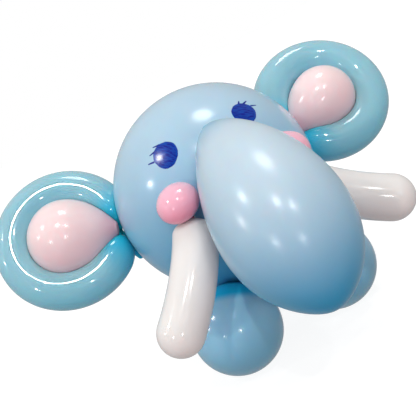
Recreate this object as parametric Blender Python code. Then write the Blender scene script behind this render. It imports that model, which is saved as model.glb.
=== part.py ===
"""An elephant made of blown latex balloons that are tied to each other.

Metres, +Z up. The elephant faces -Y, and left and right are its own, so its left is +X.
Azimuths turn from straight ahead towards its left, latitudes rise from the head's equator.
The shapes are worked out around the head's centre, and an empty then carries all of them to
the place where the feet stand on the ground and the model's box is centred.
"""
import math

import bmesh
import bpy
from mathutils import Vector
from mathutils.bvhtree import BVHTree

# Clearance between balloons that press on each other
GAP = 0.0003
# How round a balloon is where it narrows to its end, as a share of its radius
SHOULDER_ROUNDNESS = 0.45
# Taper of an end that is as round as a ball; a higher one draws the end out to its neck
ROUND_TAPER = 1.0

# Head: a large round balloon, tied at its lowest point
HEAD_RADIUS = 0.124
HEAD_NECK_RADIUS = 0.0042

# Trunk: a long egg, a little fuller towards its free end
TRUNK_LENGTH = 0.2355
TRUNK_RADIUS = 0.0659
TRUNK_BLUNTNESS = 0.626
TRUNK_SLIMNESS = 0.18
TRUNK_TIP_ROUNDING = 0.03
TRUNK_FATNESS = 0.608
TRUNK_ROOT_HEIGHT = 0.011
TRUNK_BOW_LEFT = 0.0038
TRUNK_BOW_UP = 0.0144
TRUNK_NECK_RADIUS = 0.0045
TRUNK_NECK_DEPTH = 0.006
TRUNK_KNOT_BACK = 0.0024

# Ears: a thin balloon bent to a ring with its slack end hanging from the knot
RING_TUBE_RADIUS = 0.025
RING_RADIUS = 0.0635
RING_SHOULDER = 0.034
RING_DOME = 2.2
RING_KNOT_RADIUS = 0.0050
RING_KNOT_TURN = 10.5
RING_TAIL_RADIUS = 0.0056
RING_TAIL_FALL = 14.0
RING_TAIL_TURN = 4.0
RING_TAIL_SHAPE = ((0.3, 1.0), (0.6, 1.0), (0.82, 0.62), (1.0, 0.50))

# Ears: a teardrop balloon pressed into the ring
EAR_BALL_TAPER = 1.84
EAR_BALL_TIP_RADIUS = 0.0082
EAR_BALL_TIP_DEPTH = 0.0040
EAR_BALL_PROUD = 0.010
EAR_BALL_INWARD = 0.0012
EAR_BALL_SINK = 0.0012
EAR_BALL_NECK_ROOM = 0.0012
EAR_BALL_NECK_DEPTH = 0.014

# Cheeks: small balloons, each twisted to the tusk below it
CHEEK_RADIUS = 0.0228
CHEEK_CROWN = 0.0195
CHEEK_SHOULDER = 0.0218
CHEEK_TAPER = 1.24
CHEEK_PRESS = 0.0032
CHEEK_NECK_LENGTH = 0.006
TWIST_RADIUS = 0.0032

# Tusks: thin balloons curving outward
TUSK_RADIUS = 0.0247
TUSK_ROOT_RADIUS = 0.0226
TUSK_SHOULDER = 0.017
TUSK_NECK_LENGTH = 0.0045

# Feet: round balloons under the head, flat by a small patch where they stand
FOOT_RADIUS = 0.053
FOOT_SHOULDER = 0.058
FOOT_TAPER = 1.36
FOOT_PRESS = 0.0018
FOOT_DEEP_PRESS = 0.0095
FOOT_FLAT_RADIUS = 0.012
FOOT_TIE_SPACING = 0.010

# Tied ends: a bare neck, a knot and a nozzle with a rolled lip
NECK_RADIUS = 0.0030
HEAD_NECK_LENGTH = 0.0030
KNOT_RADIUS = 0.0048
KNOT_TURNS = (50.0, 90.0, 130.0)
LIP_RADIUS = 0.0055
LIP_LENGTH = 0.0060
LIP_SHAPE = ((0.75, 0.85), (0.90, 1.0), (1.0, 0.85), (0.80, 0.0))

# Where each balloon sits: azimuth and latitude on the head, and where it points, in degrees
TRUNK_ROOT = (-1.6, 34.5)
TRUNK_POINTS = (-3.3, -50.4)
EARS = {
    "right": {"place": (-102.8, 8.3), "faces": (-2.3, 30.9), "ball_press": 0.0065},
    "left": {"place": (102.5, 6.5), "faces": (-1.5, 33.1), "ball_press": 0.0030},
}
CHEEKS = {"right": (-29.9, 10.6), "left": (25.4, 5.9)}
TUSKS = {
    "right": {"starts": (-36.6, -45.8), "ends": (-69.1, -39.6), "length": 0.1228},
    "left": {"starts": (34.2, -43.8), "ends": (70.3, -30.2), "length": 0.1107},
}
FOOT_LATITUDE = -53.8
FEET = {
    "front_foot_right": (-43.9, FOOT_PRESS),
    "front_foot_left": (46.8, FOOT_DEEP_PRESS),
    "rear_foot_right": (-139.0, FOOT_PRESS),
    "rear_foot_left": (139.0, FOOT_PRESS),
}

# Facets around the widest ring of each balloon, and steps along it
HEAD_SIDES = 48
HEAD_STEPS = 22
TRUNK_SIDES = 36
TRUNK_STEPS = 24
RING_SIDES = 12
RING_STEPS = 17
BALL_SIDES = 24
BALL_STEPS = 15
FOOT_STEPS = 14
SMALL_SIDES = 16
CHEEK_STEPS = 12
TUSK_STEPS = 7
ROUND_STEPS = 5
TIE_SIDES = 8
BEND_STEPS = 24
CAP_TURNS = (0.0, 30.0, 60.0)
RING_STEP_GROWTH = 1.5
SETTLE_ROUNDS = 3
SHARP_ANGLE = math.radians(60)

# Azimuth and latitude of a line that runs along no edge of any balloon
TEST_LINE = (118.7, 69.4)
# A step that clears a skin, and how close two shares of a turn count as the same
TINY_STEP = 1e-6
SAME_SHARE = 1e-6

PALE_BLUE = (0.50, 0.70, 0.85)
FOOT_BLUE = (0.42, 0.66, 0.82)
TEAL = (0.25, 0.55, 0.64)
PALE_PINK = (0.88, 0.74, 0.75)
PINK = (0.85, 0.42, 0.52)
WHITE = (0.90, 0.87, 0.85)
LATEX_ROUGHNESS = 0.28


def direction(azimuth, latitude):
    """Unit vector for an azimuth and a latitude in degrees."""
    turn = math.radians(azimuth)
    rise = math.radians(latitude)
    return Vector((math.sin(turn) * math.cos(rise), -math.cos(turn) * math.cos(rise), math.sin(rise)))


def on_head(azimuth, latitude, height):
    """Point at a height above the head's skin."""
    return direction(azimuth, latitude) * (HEAD_RADIUS + height)


def clear_scene():
    for old in list(bpy.data.objects):
        bpy.data.objects.remove(old, do_unlink=True)


def latex(name, colour):
    """Material of one balloon."""
    material = bpy.data.materials.new(name)
    material.use_nodes = True
    shader = material.node_tree.nodes["Principled BSDF"]
    shader.inputs["Base Color"].default_value = (*colour, 1.0)
    shader.inputs["Roughness"].default_value = LATEX_ROUGHNESS
    shader.inputs["Metallic"].default_value = 0.0
    material.diffuse_color = (*colour, 1.0)
    return material


def neck_turn(radius, taper, neck_radius):
    """Angle from the crown at which a body has narrowed to its neck."""
    return math.pi - math.asin((neck_radius / radius) ** (1 / taper))


def body_profile(radius, crown, shoulder, taper, neck_radius, steps):
    """Distance from the widest ring and radius there, from the crown to the start of the neck."""
    last_turn = neck_turn(radius, taper, neck_radius)
    profile = []
    for step in range(steps + 1):
        turn = last_turn * step / steps
        if turn <= math.pi / 2:
            profile.append((-crown * math.cos(turn), radius * math.sin(turn)))
        else:
            profile.append((-shoulder * math.cos(turn), radius * math.sin(turn) ** taper))
    return profile


def tie_profile(start, neck_radius, neck_length):
    """The tied end after a body: bare neck, knot, and the nozzle with its lip."""
    knot_start = start + neck_length
    profile = [(knot_start, neck_radius)]
    for turn in KNOT_TURNS:
        angle = math.radians(turn)
        along = knot_start + KNOT_RADIUS * (1 - math.cos(angle))
        profile.append((along, KNOT_RADIUS * math.sin(angle)))
    nozzle = knot_start + 2 * KNOT_RADIUS
    profile.append((nozzle, neck_radius))
    for along, across in LIP_SHAPE:
        profile.append((nozzle + LIP_LENGTH * along, LIP_RADIUS * across))
    return profile


def point_on(path, distance):
    """Point and tangent at a distance along a path, which runs on straight past both its ends."""
    travelled = 0.0
    for first, second in zip(path, path[1:]):
        step = (second - first).length
        if distance <= travelled + step or second is path[-1]:
            tangent = (second - first).normalized()
            return first + tangent * (distance - travelled), tangent
        travelled += step
    raise ValueError("a path needs two points")


def bent_path(start, first_heading, last_heading, length):
    """Path of a given length whose heading turns evenly from one azimuth and latitude to another."""
    path = [start]
    for step in range(BEND_STEPS):
        share = (step + 0.5) / BEND_STEPS
        heading = [a + (b - a) * share for a, b in zip(first_heading, last_heading)]
        path.append(path[-1] + direction(*heading) * (length / BEND_STEPS))
    return path


def stations_along(path, profile):
    """Turn a profile of distances and radii into centres, tangents and radii along a path."""
    return [(*point_on(path, distance), radius) for distance, radius in profile]


def ring_of_points(mesh, centre, across, tangent, radius, sides):
    """One ring of vertices, or a single vertex where the radius is nothing."""
    if radius <= 0:
        return [mesh.verts.new(centre)]
    up = tangent.cross(across).normalized()
    side = up.cross(tangent).normalized()
    points = []
    for index in range(sides):
        turn = 2 * math.pi * index / sides
        points.append(mesh.verts.new(centre + (side * math.cos(turn) + up * math.sin(turn)) * radius))
    return points


def zip_rings(mesh, first, second):
    """Join two rings that may have different counts of points."""
    steps_first = len(first) if len(first) > 1 else 0
    steps_second = len(second) if len(second) > 1 else 0
    i = j = 0
    while i < steps_first or j < steps_second:
        ahead_first = (i + 1) / steps_first if i < steps_first else math.inf
        ahead_second = (j + 1) / steps_second if j < steps_second else math.inf
        corner_first = first[i % len(first)]
        corner_second = second[j % len(second)]
        next_first = first[(i + 1) % len(first)]
        next_second = second[(j + 1) % len(second)]
        if abs(ahead_first - ahead_second) < SAME_SHARE:
            mesh.faces.new((corner_first, corner_second, next_second, next_first))
            i += 1
            j += 1
        elif ahead_first < ahead_second:
            mesh.faces.new((corner_first, corner_second, next_first))
            i += 1
        else:
            mesh.faces.new((corner_first, corner_second, next_second))
            j += 1


def skin(stations, full_sides, closed_loop=False):
    """Closed mesh over a row of stations, each a centre, a tangent and a radius."""
    widest = max(radius for _, _, radius in stations)
    mesh = bmesh.new()
    across = stations[0][1].orthogonal().normalized()
    tangent_before = stations[0][1]
    rings = []
    for centre, tangent, radius in stations:
        across = tangent_before.rotation_difference(tangent) @ across
        tangent_before = tangent
        sides = full_sides
        if not closed_loop:
            sides = max(TIE_SIDES, 2 * round(0.5 * full_sides * radius / widest))
        rings.append(ring_of_points(mesh, centre, across, tangent, radius, sides))
    for first, second in zip(rings, rings[1:]):
        zip_rings(mesh, first, second)
    if closed_loop:
        zip_rings(mesh, rings[-1], rings[0])
    bmesh.ops.triangulate(mesh, faces=mesh.faces[:])
    bmesh.ops.recalc_face_normals(mesh, faces=mesh.faces[:])
    return mesh


def is_inside(tree, point):
    """Whether a line from a point leaves through a closed skin an odd number of times."""
    crossings = 0
    start = point
    heading = direction(*TEST_LINE)
    while True:
        hit = tree.ray_cast(start, heading)[0]
        if hit is None:
            return crossings % 2 == 1
        crossings += 1
        start = hit + heading * TINY_STEP


def settle(mesh, neighbours):
    """Flatten a balloon where it presses on the ones that are in place already.

    Each corner stays clear of a neighbour's facet by the gap, by how far that facet lies inside the
    round shape that it stands for, and by what the corner's longest edge would cut off the shape.
    """
    edges = [max(edge.calc_length() for edge in vertex.link_edges) for vertex in mesh.verts]
    for _ in range(SETTLE_ROUNDS):
        for tree, facets, radius in neighbours:
            for vertex, edge in zip(mesh.verts, edges):
                place, normal, index, distance = tree.find_nearest(vertex.co)
                squares = edge * edge + facets[index] * facets[index]
                clearance = GAP + squares / (8 * radius * SHOULDER_ROUNDNESS)
                if (vertex.co - place).dot(normal) >= clearance:
                    continue
                if distance < clearance or is_inside(tree, vertex.co):
                    vertex.co = place + normal * clearance


def add_object(name, mesh, origin, carrier):
    """Object from a mesh that was worked out around the head's centre."""
    bmesh.ops.triangulate(mesh, faces=mesh.faces[:])
    bmesh.ops.recalc_face_normals(mesh, faces=mesh.faces[:])
    bmesh.ops.translate(mesh, verts=mesh.verts[:], vec=-origin)
    data = bpy.data.meshes.new(name)
    mesh.to_mesh(data)
    data.shade_smooth()
    data.set_sharp_from_angle(angle=SHARP_ANGLE)
    piece = bpy.data.objects.new(name, data)
    piece.location = origin
    piece.parent = carrier
    bpy.context.collection.objects.link(piece)
    return piece


def unite(piece, addition):
    """Fuse a hidden addition to a piece of the same balloon."""
    addition.hide_render = True
    addition.display_type = "WIRE"
    union = piece.modifiers.new("fused end", "BOOLEAN")
    union.operation = "UNION"
    union.solver = "EXACT"
    union.object = addition


def capsule(path, radii):
    """Round-ended tube through a few points, with a radius at each."""
    stations = []
    first_tangent = (path[1] - path[0]).normalized()
    last_tangent = (path[-1] - path[-2]).normalized()
    for turn in CAP_TURNS:
        angle = math.radians(turn)
        centre = path[0] - first_tangent * radii[0] * math.cos(angle)
        stations.append((centre, first_tangent, radii[0] * math.sin(angle)))
    for index, (point, radius) in enumerate(zip(path, radii)):
        before = path[max(index - 1, 0)]
        after = path[min(index + 1, len(path) - 1)]
        stations.append((point, (after - before).normalized(), radius))
    for turn in reversed(CAP_TURNS):
        angle = math.radians(turn)
        centre = path[-1] + last_tangent * radii[-1] * math.cos(angle)
        stations.append((centre, last_tangent, radii[-1] * math.sin(angle)))
    return skin(stations, TIE_SIDES)


def head_mesh():
    """Round balloon, tied at its lowest point."""
    radius = HEAD_RADIUS
    profile = body_profile(radius, radius, radius, ROUND_TAPER, HEAD_NECK_RADIUS, HEAD_STEPS)
    profile += tie_profile(profile[-1][0], HEAD_NECK_RADIUS, HEAD_NECK_LENGTH)
    down = Vector((0.0, 0.0, -1.0))
    return skin(stations_along([Vector(), down * radius], profile), HEAD_SIDES)


def trunk_frame():
    """The trunk's root, its heading and the way its middle bows."""
    root = on_head(*TRUNK_ROOT, TRUNK_ROOT_HEIGHT)
    heading = direction(*TRUNK_POINTS)
    left = Vector((1.0, 0.0, 0.0))
    left = (left - heading * left.dot(heading)).normalized()
    up = heading.cross(left)
    bow = left * TRUNK_BOW_LEFT + up * TRUNK_BOW_UP
    return root, heading, bow


def trunk_swell(share):
    """How wide the egg is at a share of its length, before it is scaled to the trunk's radius."""
    tip = math.sqrt(1 - share) * (1 - share + TRUNK_TIP_ROUNDING) ** TRUNK_SLIMNESS
    return share ** TRUNK_BLUNTNESS * tip * math.exp(TRUNK_FATNESS * share)


def trunk_mesh():
    """Egg along a slightly bowed axis."""
    root, heading, bow = trunk_frame()
    shares = [(1 - math.cos(math.pi * step / TRUNK_STEPS)) / 2 for step in range(TRUNK_STEPS + 1)]
    swell = [trunk_swell(share) for share in shares]
    stations = []
    for share, size in zip(shares, swell):
        centre = root + heading * (TRUNK_LENGTH * share) + bow * (4 * share * (1 - share))
        tangent = (heading * TRUNK_LENGTH + bow * (4 - 8 * share)).normalized()
        stations.append((centre, tangent, TRUNK_RADIUS * size / max(swell)))
    return skin(stations, TRUNK_SIDES)


def trunk_tie_mesh():
    """The trunk's neck and knot, turned in to the head behind its blunt end."""
    root, heading, _ = trunk_frame()
    inner = root + heading * TRUNK_NECK_DEPTH
    knot = root.normalized() * (HEAD_RADIUS + GAP + KNOT_RADIUS) - heading * TRUNK_KNOT_BACK
    return capsule([inner, root, knot], (TRUNK_NECK_RADIUS, TRUNK_NECK_RADIUS, KNOT_RADIUS))


def ear_frame(ear):
    """A ring's centre, its normal, the way to its knot, and the way along the ring to the ground."""
    away = HEAD_RADIUS + GAP + RING_KNOT_RADIUS + RING_RADIUS
    centre = direction(*ear["place"]) * away
    normal = direction(*ear["faces"])
    to_head = (normal * centre.dot(normal) - centre).normalized()
    down = to_head.cross(normal)
    if down.z > 0:
        down.negate()
    turn = math.radians(RING_KNOT_TURN)
    to_knot = to_head * math.cos(turn) + down * math.sin(turn)
    down_there = down * math.cos(turn) - to_head * math.sin(turn)
    return centre, normal, to_knot, down_there


def ring_knot(ear):
    """Where a ring is tied end to end."""
    centre, _, to_knot, _ = ear_frame(ear)
    return centre + to_knot * RING_RADIUS


def ring_tube_radius(distance):
    """Radius of the ring's tube at a distance from its knot."""
    share = min(1.0, max(0.0, (distance - RING_KNOT_RADIUS) / RING_SHOULDER))
    dome = (1 - (1 - share) ** RING_DOME) ** (1 / RING_DOME)
    return max(RING_KNOT_RADIUS, RING_TUBE_RADIUS * dome)


def ring_mesh(ear):
    """Thin balloon bent to a ring, tied end to end beside the head."""
    centre, _, to_knot, down = ear_frame(ear)
    stations = []
    for step in range(-RING_STEPS + 1, RING_STEPS + 1):
        turn = math.copysign(math.pi * (abs(step) / RING_STEPS) ** RING_STEP_GROWTH, step)
        outward = to_knot * math.cos(turn) + down * math.sin(turn)
        tangent = down * math.cos(turn) - to_knot * math.sin(turn)
        radius = ring_tube_radius(abs(turn) * RING_RADIUS)
        stations.append((centre + outward * RING_RADIUS, tangent, radius))
    return skin(stations, RING_SIDES, closed_loop=True)


def ring_tail_mesh(ear):
    """The ring's slack end, hanging from the knot along the head."""
    knot = ring_knot(ear)
    azimuth = math.degrees(math.atan2(knot.x, -knot.y))
    latitude = math.degrees(math.asin(knot.z / knot.length))
    turn = math.copysign(RING_TAIL_TURN, azimuth)
    path = [knot]
    radii = [RING_KNOT_RADIUS]
    for share, size in RING_TAIL_SHAPE:
        radius = RING_TAIL_RADIUS * size
        place = (azimuth + turn * share, latitude - RING_TAIL_FALL * share)
        path.append(on_head(*place, GAP + radius))
        radii.append(radius)
    return capsule(path, radii)


def ear_ball_radius(ear):
    """Radius of the ball, a little more than the ring leaves free."""
    return RING_RADIUS - RING_TUBE_RADIUS + ear["ball_press"]


def ear_ball_mesh(ear):
    """Teardrop balloon sitting in the ring, its blunt tip in front of the ring's knot."""
    centre, normal, to_knot, down = ear_frame(ear)
    middle = centre + normal * EAR_BALL_PROUD + to_knot * EAR_BALL_INWARD + down * EAR_BALL_SINK
    tip = EAR_BALL_TIP_RADIUS
    goal = ring_knot(ear) + normal * (RING_KNOT_RADIUS + GAP + tip)
    heading = (goal - middle).normalized()
    radius = ear_ball_radius(ear)
    shoulder = -(goal - middle).length / math.cos(neck_turn(radius, EAR_BALL_TAPER, tip))
    profile = body_profile(radius, radius, shoulder, EAR_BALL_TAPER, tip, BALL_STEPS)
    end = profile[-1][0]
    for turn in reversed(CAP_TURNS):
        angle = math.radians(turn)
        profile.append((end + EAR_BALL_TIP_DEPTH * math.cos(angle), tip * math.sin(angle)))
    return skin(stations_along([middle, middle + heading], profile), BALL_SIDES), middle


def neck_room(inward):
    """Free space around a point that is inward of the ring's knot, up to the tube on either side."""
    room = math.inf
    for step in range(RING_STEPS):
        turn = math.pi / 2 * step / RING_STEPS
        deep = RING_RADIUS * (1 - math.cos(turn))
        aside = RING_RADIUS * math.sin(turn)
        room = min(room, math.hypot(inward - deep, aside) - ring_tube_radius(turn * RING_RADIUS))
    return room


def neck_inward():
    """How far inward of the ring's knot there is room for the ball's neck."""
    inward = RING_KNOT_RADIUS
    while neck_room(inward) < NECK_RADIUS + EAR_BALL_NECK_ROOM:
        inward += GAP
    return inward


def ear_ball_tie_mesh(ear):
    """The ball's neck and knot, drawn back through the ring beside the ring's own knot."""
    _, normal, to_knot, _ = ear_frame(ear)
    beside = ring_knot(ear) - to_knot * neck_inward()
    start = beside + normal * KNOT_RADIUS
    behind = beside - normal * EAR_BALL_NECK_DEPTH
    return capsule([start, beside, behind], (NECK_RADIUS, NECK_RADIUS, KNOT_RADIUS))


def cheek_centre(side):
    """Centre of a cheek that is pressed a little into the head."""
    return on_head(*CHEEKS[side], CHEEK_RADIUS - CHEEK_PRESS)


def twist_point(side):
    """Where a cheek is twisted to its tusk, below the cheek and just above the head's skin."""
    azimuth, latitude = CHEEKS[side]
    twist_height = GAP + TWIST_RADIUS
    low = HEAD_RADIUS + twist_height
    high = HEAD_RADIUS + CHEEK_RADIUS - CHEEK_PRESS
    reach = CHEEK_SHOULDER + CHEEK_NECK_LENGTH
    drop = math.degrees(math.acos((low ** 2 + high ** 2 - reach ** 2) / (2 * low * high)))
    return on_head(azimuth, latitude - drop, twist_height)


def cheek_mesh(side):
    """Small balloon beside the trunk, twisted to the tusk below it."""
    centre = cheek_centre(side)
    heading = twist_point(side) - centre
    reach = heading.length - 0.5 * GAP
    heading.normalize()
    radius = CHEEK_RADIUS
    profile = body_profile(radius, CHEEK_CROWN, CHEEK_SHOULDER, CHEEK_TAPER, TWIST_RADIUS, CHEEK_STEPS)
    profile.append((reach, TWIST_RADIUS))
    profile.append((reach, 0.0))
    return skin(stations_along([centre, centre + heading], profile), SMALL_SIDES)


def tusk_mesh(side):
    """White balloon curving outward from its twist below the cheek."""
    tusk = TUSKS[side]
    twist = twist_point(side)
    down = (twist - cheek_centre(side)).normalized()
    start = twist + down * (0.5 * GAP)
    body_start = start + down * TUSK_NECK_LENGTH
    path = [start] + bent_path(body_start, tusk["starts"], tusk["ends"], tusk["length"])
    profile = [(0.0, 0.0), (0.0, TWIST_RADIUS), (TUSK_NECK_LENGTH, TWIST_RADIUS)]
    for step in range(1, ROUND_STEPS + 1):
        turn = math.pi / 2 * step / ROUND_STEPS
        radius = max(TWIST_RADIUS, TUSK_ROOT_RADIUS * math.sin(turn))
        profile.append((TUSK_NECK_LENGTH + TUSK_SHOULDER * (1 - math.cos(turn)), radius))
    straight = tusk["length"] - TUSK_SHOULDER
    for step in range(1, TUSK_STEPS + 1):
        share = step / TUSK_STEPS
        radius = TUSK_ROOT_RADIUS + (TUSK_RADIUS - TUSK_ROOT_RADIUS) * math.sin(share * math.pi / 2)
        profile.append((TUSK_NECK_LENGTH + TUSK_SHOULDER + straight * share, radius))
    for step in range(1, ROUND_STEPS + 1):
        turn = math.pi / 2 * step / ROUND_STEPS
        along = TUSK_NECK_LENGTH + tusk["length"] + TUSK_RADIUS * math.sin(turn)
        profile.append((along, TUSK_RADIUS * math.cos(turn) if step < ROUND_STEPS else 0.0))
    return skin(stations_along(path, profile), SMALL_SIDES), start


def foot_centre(azimuth, press):
    """Centre of a foot that is pressed into the head, all four at one height."""
    height = on_head(0.0, FOOT_LATITUDE, FOOT_RADIUS - FOOT_PRESS).z
    away = HEAD_RADIUS + FOOT_RADIUS - press
    out = direction(azimuth, 0.0) * math.sqrt(away ** 2 - height ** 2)
    return Vector((out.x, out.y, height))


def ground_height():
    """Height of the ground below the head's centre, where each foot is flat by a small patch."""
    drop = math.sqrt(FOOT_RADIUS ** 2 - FOOT_FLAT_RADIUS ** 2)
    return foot_centre(0.0, FOOT_PRESS).z - drop


def foot_mesh(azimuth, press):
    """Round balloon under the head, tied to the others below the head's knot."""
    centre = foot_centre(azimuth, press)
    outward = Vector((centre.x, centre.y, 0.0)).normalized()
    meeting = Vector((0.0, 0.0, centre.z)) + outward * FOOT_TIE_SPACING
    heading = (meeting - centre).normalized()
    radius = FOOT_RADIUS
    profile = body_profile(radius, radius, FOOT_SHOULDER, FOOT_TAPER, NECK_RADIUS, FOOT_STEPS)
    body_end = profile[-1][0]
    neck_length = (meeting - centre).length - body_end - 2 * KNOT_RADIUS - LIP_LENGTH
    profile += tie_profile(body_end, NECK_RADIUS, neck_length)
    return skin(stations_along([centre, centre + heading], profile), BALL_SIDES), centre


def cut_flat(mesh):
    """Cut a foot flat where it stands on the ground."""
    everything = mesh.verts[:] + mesh.edges[:] + mesh.faces[:]
    ground = (0.0, 0.0, ground_height())
    cut = bmesh.ops.bisect_plane(
        mesh, geom=everything, dist=TINY_STEP, plane_co=ground, plane_no=(0.0, 0.0, -1.0), clear_outer=True)
    rim = [element for element in cut["geom_cut"] if isinstance(element, bmesh.types.BMEdge)]
    bmesh.ops.contextual_create(mesh, geom=rim)


def model_corners(pieces):
    """Lowest and highest corners of the pieces around the head's centre."""
    bpy.context.view_layer.update()
    corners = [piece.matrix_world @ vertex.co for piece in pieces for vertex in piece.data.vertices]
    low = [min(corner[axis] for corner in corners) for axis in range(3)]
    high = [max(corner[axis] for corner in corners) for axis in range(3)]
    return low, high


def build():
    clear_scene()
    elephant = bpy.data.objects.new("elephant", None)
    bpy.context.collection.objects.link(elephant)
    pieces = []
    in_place = {}

    def press_in(name, mesh, radius, fused_to=None):
        settle(mesh, [neighbour for other, neighbour in in_place.items() if other != fused_to])
        facets = [max(edge.calc_length() for edge in face.edges) for face in mesh.faces]
        in_place[name] = (BVHTree.FromBMesh(mesh), facets, radius)

    def add(name, mesh, origin, colour):
        piece = add_object(name, mesh, origin, elephant)
        piece.data.materials.append(latex(name + "_latex", colour))
        pieces.append(piece)
        return piece

    def add_end(piece, name, mesh, radius):
        press_in(name, mesh, radius, fused_to=piece.name)
        unite(piece, add_object(name, mesh, piece.location, elephant))

    head = head_mesh()
    press_in("head", head, HEAD_RADIUS)
    add("head", head, Vector(), PALE_BLUE)

    trunk = trunk_mesh()
    press_in("trunk", trunk, TRUNK_RADIUS)
    trunk_piece = add("trunk", trunk, trunk_frame()[0], PALE_BLUE)
    add_end(trunk_piece, "trunk_tie", trunk_tie_mesh(), KNOT_RADIUS)

    for name, (azimuth, press) in FEET.items():
        foot, centre = foot_mesh(azimuth, press)
        press_in(name, foot, FOOT_RADIUS)
        cut_flat(foot)
        add(name, foot, centre, FOOT_BLUE)

    for side in CHEEKS:
        cheek = cheek_mesh(side)
        press_in("cheek_" + side, cheek, CHEEK_RADIUS)
        add("cheek_" + side, cheek, cheek_centre(side), PINK)
        tusk, start = tusk_mesh(side)
        press_in("tusk_" + side, tusk, TUSK_RADIUS)
        add("tusk_" + side, tusk, start, WHITE)

    for side, ear in EARS.items():
        ring = ring_mesh(ear)
        press_in("ear_ring_" + side, ring, RING_TUBE_RADIUS)
        ring_piece = add("ear_ring_" + side, ring, ear_frame(ear)[0], TEAL)
        add_end(ring_piece, "ring_tail_" + side, ring_tail_mesh(ear), RING_TAIL_RADIUS)
        ball, middle = ear_ball_mesh(ear)
        press_in("ear_ball_" + side, ball, ear_ball_radius(ear))
        ball_piece = add("ear_ball_" + side, ball, middle, PALE_PINK)
        add_end(ball_piece, "ball_tie_" + side, ear_ball_tie_mesh(ear), KNOT_RADIUS)

    low, high = model_corners(pieces)
    elephant.location = (-(low[0] + high[0]) / 2, -(low[1] + high[1]) / 2, -ground_height())


build()
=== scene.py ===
"""Looks of the balloon elephant: smooth latex skins, tied ends, marker eyes and soft studio light.

Metres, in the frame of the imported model: +Z up, the elephant faces -Y, and left and right are its own,
so its left is +X. Azimuths turn from straight ahead towards its left, latitudes rise from the head's
equator. Each balloon is worked out around the head's centre and then carried to where the head is.
"""

import math

import bpy
import numpy as np
from mathutils import Matrix, Vector
from mathutils.bvhtree import BVHTree


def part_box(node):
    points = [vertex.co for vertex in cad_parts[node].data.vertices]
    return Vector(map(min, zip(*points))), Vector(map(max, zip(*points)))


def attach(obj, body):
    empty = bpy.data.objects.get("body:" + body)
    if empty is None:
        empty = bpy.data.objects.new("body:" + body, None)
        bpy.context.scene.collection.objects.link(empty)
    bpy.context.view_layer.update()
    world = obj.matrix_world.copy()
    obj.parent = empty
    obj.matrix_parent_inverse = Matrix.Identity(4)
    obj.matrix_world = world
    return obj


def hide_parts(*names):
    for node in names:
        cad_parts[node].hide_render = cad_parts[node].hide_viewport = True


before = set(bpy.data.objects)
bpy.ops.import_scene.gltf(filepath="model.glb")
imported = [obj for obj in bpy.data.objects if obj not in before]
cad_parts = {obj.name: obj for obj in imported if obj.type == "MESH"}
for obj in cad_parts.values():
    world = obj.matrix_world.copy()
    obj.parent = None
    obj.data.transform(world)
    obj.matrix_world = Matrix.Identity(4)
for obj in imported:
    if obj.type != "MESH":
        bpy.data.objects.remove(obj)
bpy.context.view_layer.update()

# Clearance between balloons that press on each other
GAP = 0.0003

# Head: a large round balloon, tied at its lowest point
HEAD_RADIUS = 0.124
HEAD_NECK_RADIUS = 0.0042
HEAD_NECK_LENGTH = 0.0030

# Trunk: a long egg, a little fuller towards its free end
TRUNK_LENGTH = 0.2355
TRUNK_RADIUS = 0.0659
TRUNK_BLUNTNESS = 0.626
TRUNK_SLIMNESS = 0.18
TRUNK_TIP_ROUNDING = 0.03
TRUNK_FATNESS = 0.608
TRUNK_ROOT_HEIGHT = 0.011
TRUNK_BOW_LEFT = 0.0038
TRUNK_BOW_UP = 0.0144
TRUNK_NECK_RADIUS = 0.0045
TRUNK_NECK_DEPTH = 0.006
TRUNK_KNOT_BACK = 0.0024

# Ears: a thin balloon bent to a ring with its slack end hanging from the knot
RING_TUBE_RADIUS = 0.025
RING_RADIUS = 0.0635
RING_SHOULDER = 0.034
RING_DOME = 2.2
RING_KNOT_RADIUS = 0.0050
RING_KNOT_TURN = 10.5
RING_STEP_GROWTH = 1.5
# How far from the knot the ring's colour stays deeper, where its latex gathers and as painted shade on
# the knot end beside the head
RING_PALE_REACH = 0.062
RING_TAIL_RADIUS = 0.0056
RING_TAIL_FALL = 18.5
RING_TAIL_TURN = 4.0
RING_TAIL_SHAPE = ((0.3, 1.0), (0.6, 1.0), (0.82, 0.80), (1.0, 0.72))

# Ears: a teardrop balloon that presses into the ring
EAR_BALL_TAPER = 1.84
EAR_BALL_TIP_RADIUS = 0.0082
EAR_BALL_TIP_DEPTH = 0.0022
EAR_BALL_PROUD = 0.010
EAR_BALL_INWARD = 0.0012
EAR_BALL_NECK_ROOM = 0.0012
EAR_BALL_NECK_DEPTH = 0.014

# Cheeks: small balloons, each twisted to the tusk below it
CHEEK_RADIUS = 0.0236
CHEEK_CROWN = 0.0192
CHEEK_SHOULDER = 0.0190
CHEEK_TAPER = 1.24
CHEEK_PRESS = 0.0038
CHEEK_NECK_LENGTH = 0.0088
TWIST_RADIUS = 0.0032

# Tusks: thin balloons curving outward
TUSK_RADIUS = 0.0250
TUSK_ROOT_RADIUS = 0.0242
TUSK_SHOULDER = 0.017
TUSK_NECK_LENGTH = 0.0045

# Feet: round balloons under the head, flat by a small patch where they stand
FOOT_RADIUS = 0.053
FOOT_SHOULDER = 0.058
FOOT_TAPER = 1.36
FOOT_PRESS = 0.0018
FOOT_DEEP_PRESS = 0.0095
FOOT_FLAT_RADIUS = 0.012
FOOT_TIE_SPACING = 0.010
# How far from the head's skin a foot's colour is deepened as painted shade
FOOT_SHADE_REACH = 0.060

# Tied ends: a bare neck, a knot and a nozzle with a rolled lip
ROUND_TAPER = 1.0
NECK_RADIUS = 0.0030
KNOT_RADIUS = 0.0048
NOZZLE_LENGTH = 0.0060
NOZZLE_RADIUS = 0.0055
NOZZLE_FLARE = 1.6
LIP_ROLL = 0.0009
TIE_PLEATS = 9
TWIST_PLEATS = 8
PLEAT_DEPTH = 0.16
PLEAT_REACH = 9

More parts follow.
